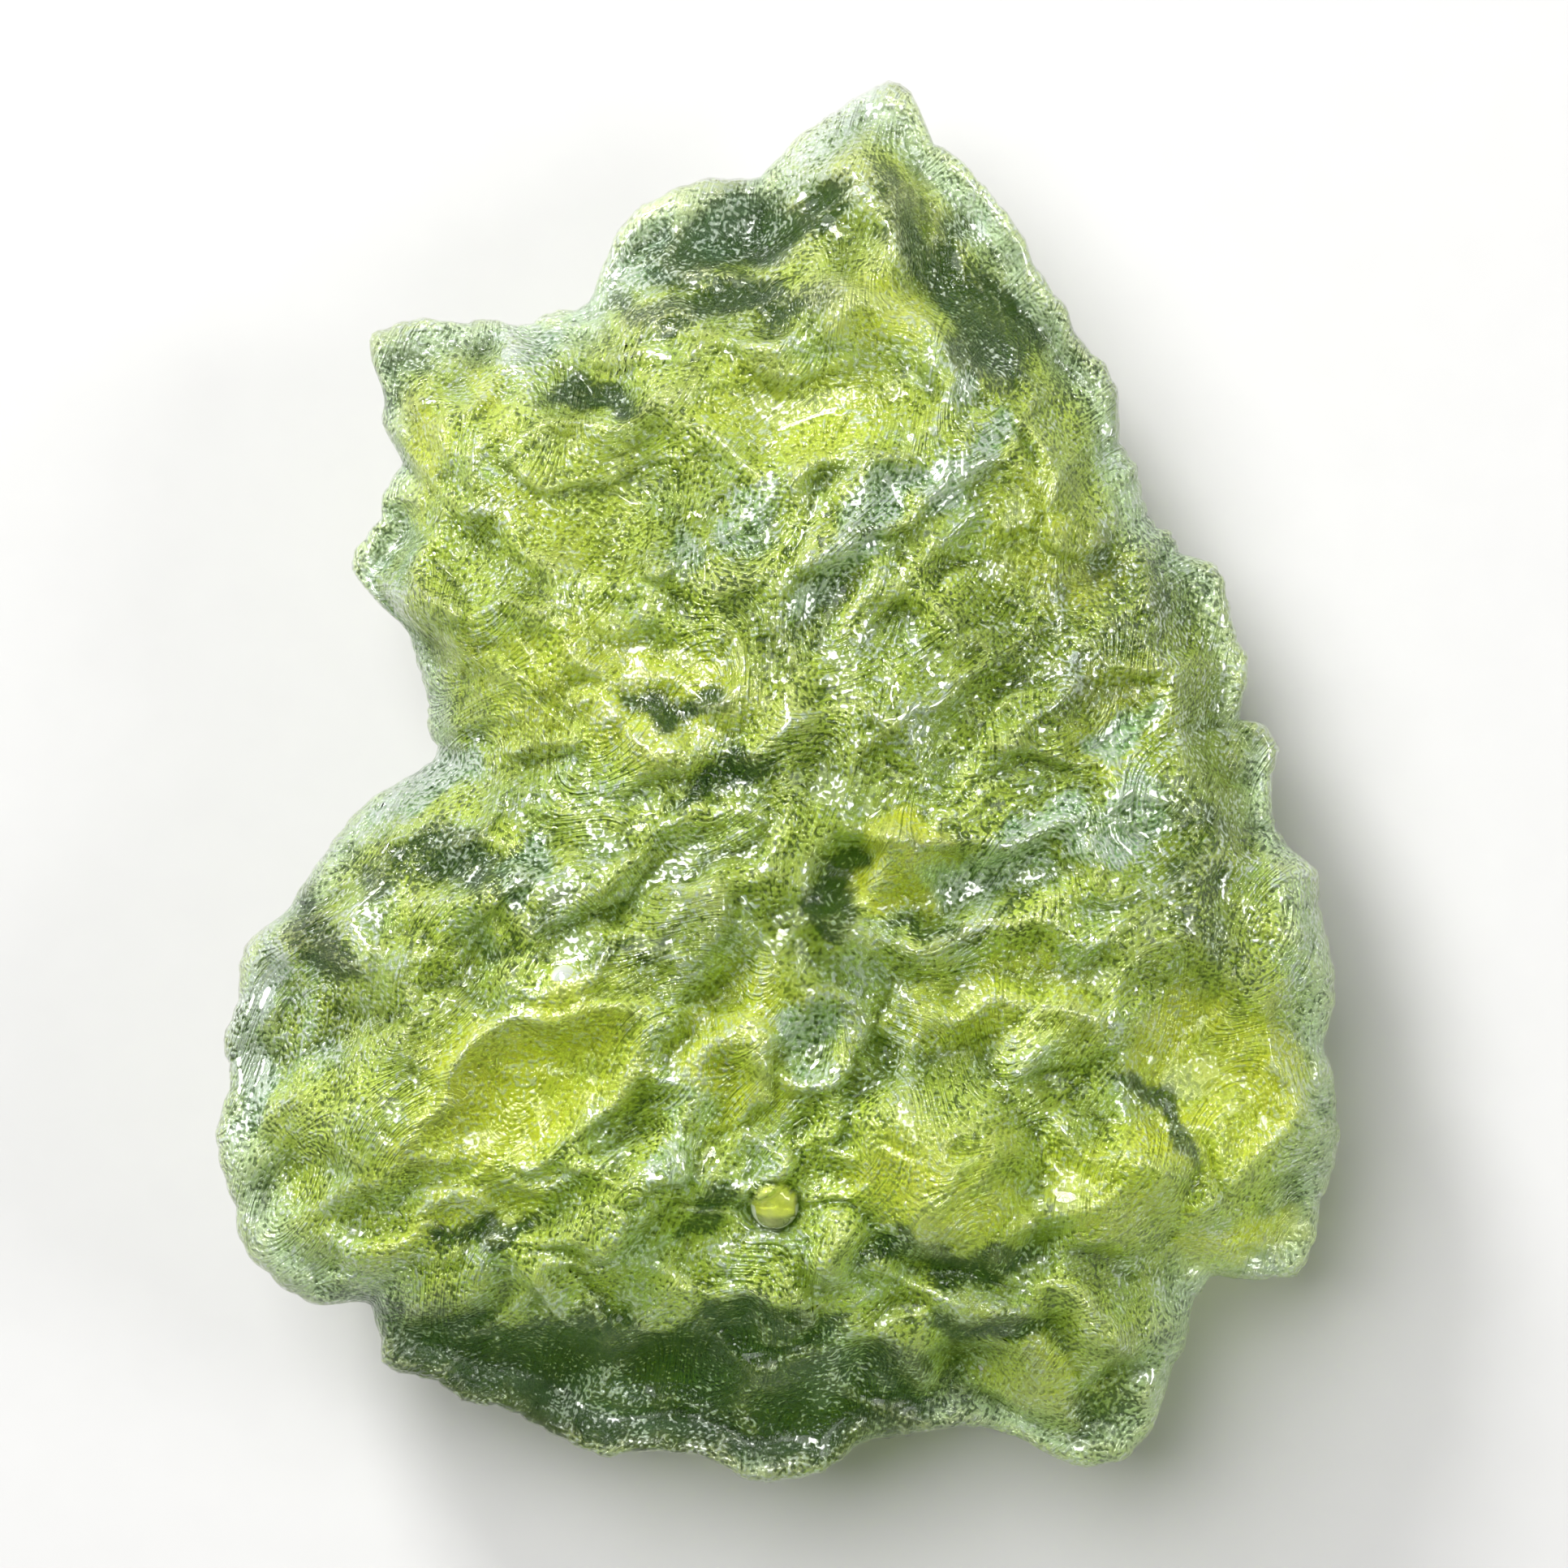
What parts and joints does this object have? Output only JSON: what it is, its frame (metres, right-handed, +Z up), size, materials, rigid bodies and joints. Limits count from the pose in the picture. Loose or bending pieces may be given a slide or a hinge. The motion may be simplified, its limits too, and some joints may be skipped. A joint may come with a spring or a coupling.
{
  "type": "moldavite",
  "caption": "Flat, spade-shaped piece of green natural glass with a jagged rim and deeply etched faces, lying on its back on a small flat spot.",
  "frame": {"origin": "on the ground under the middle of the stone's box", "axes": "+Y along the stone towards the tip of its spire, +X across it, +Z up out of the face seen in the picture"},
  "size_m": [0.024, 0.03, 0.0095],
  "materials": {
    "moldavite_glass": "etched natural glass, clear to satin"
  },
  "bodies": {
    "root": {"moldavite": "moldavite_glass"}
  },
  "joints": []
}
